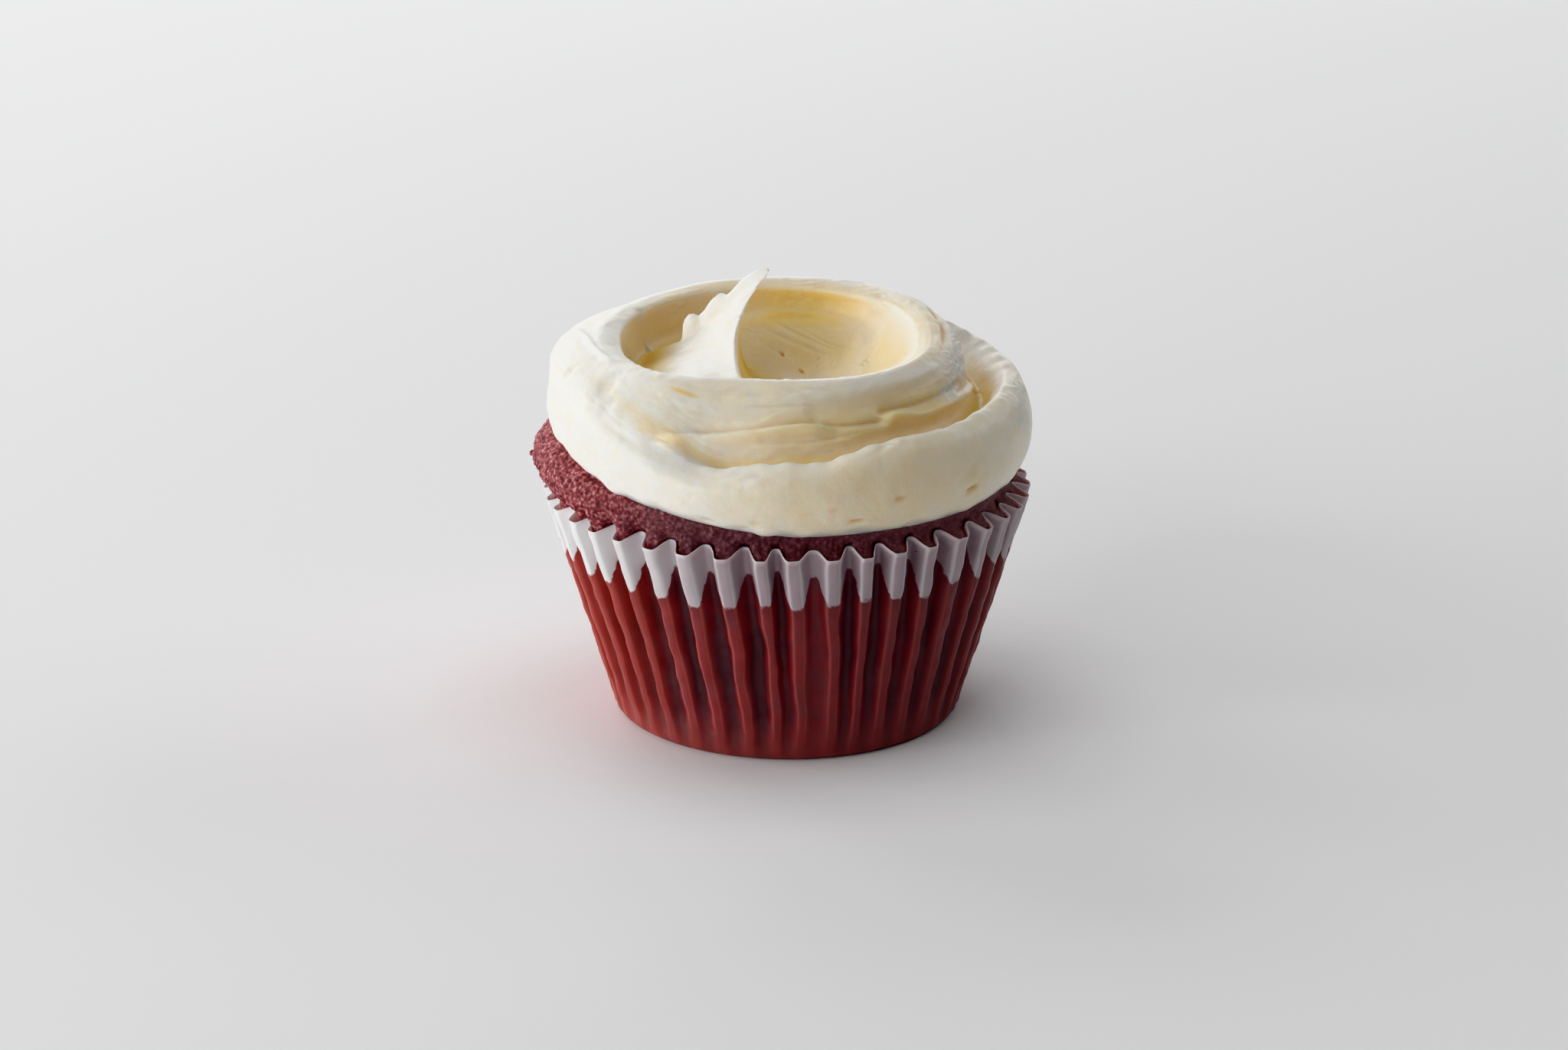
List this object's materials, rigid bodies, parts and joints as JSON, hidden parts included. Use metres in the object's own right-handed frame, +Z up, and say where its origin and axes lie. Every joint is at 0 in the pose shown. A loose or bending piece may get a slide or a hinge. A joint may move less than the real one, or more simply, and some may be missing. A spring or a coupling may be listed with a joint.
{
  "type": "cupcake",
  "caption": "Red cupcake in a pleated paper case, topped with a thick spatula swirl of pale frosting around a well with a lifted peak.",
  "frame": {"origin": "centre of the paper case's flat base, on the surface it stands on", "axes": "+Z up; -Y is the shown front, with the start of the frosting's outer lip at the front left; +X to the right"},
  "size_m": [0.0702, 0.0694, 0.063],
  "materials": {
    "cake": "soft red cake crumb, matt and open",
    "paper_case": "thin white greaseproof paper, stained dark red where the cake touches it",
    "frosting": "smooth cream cheese frosting, warm white with a soft low sheen"
  },
  "bodies": {
    "root": {"cake": "cake", "paper_case": "paper_case", "frosting": "frosting"}
  },
  "joints": []
}
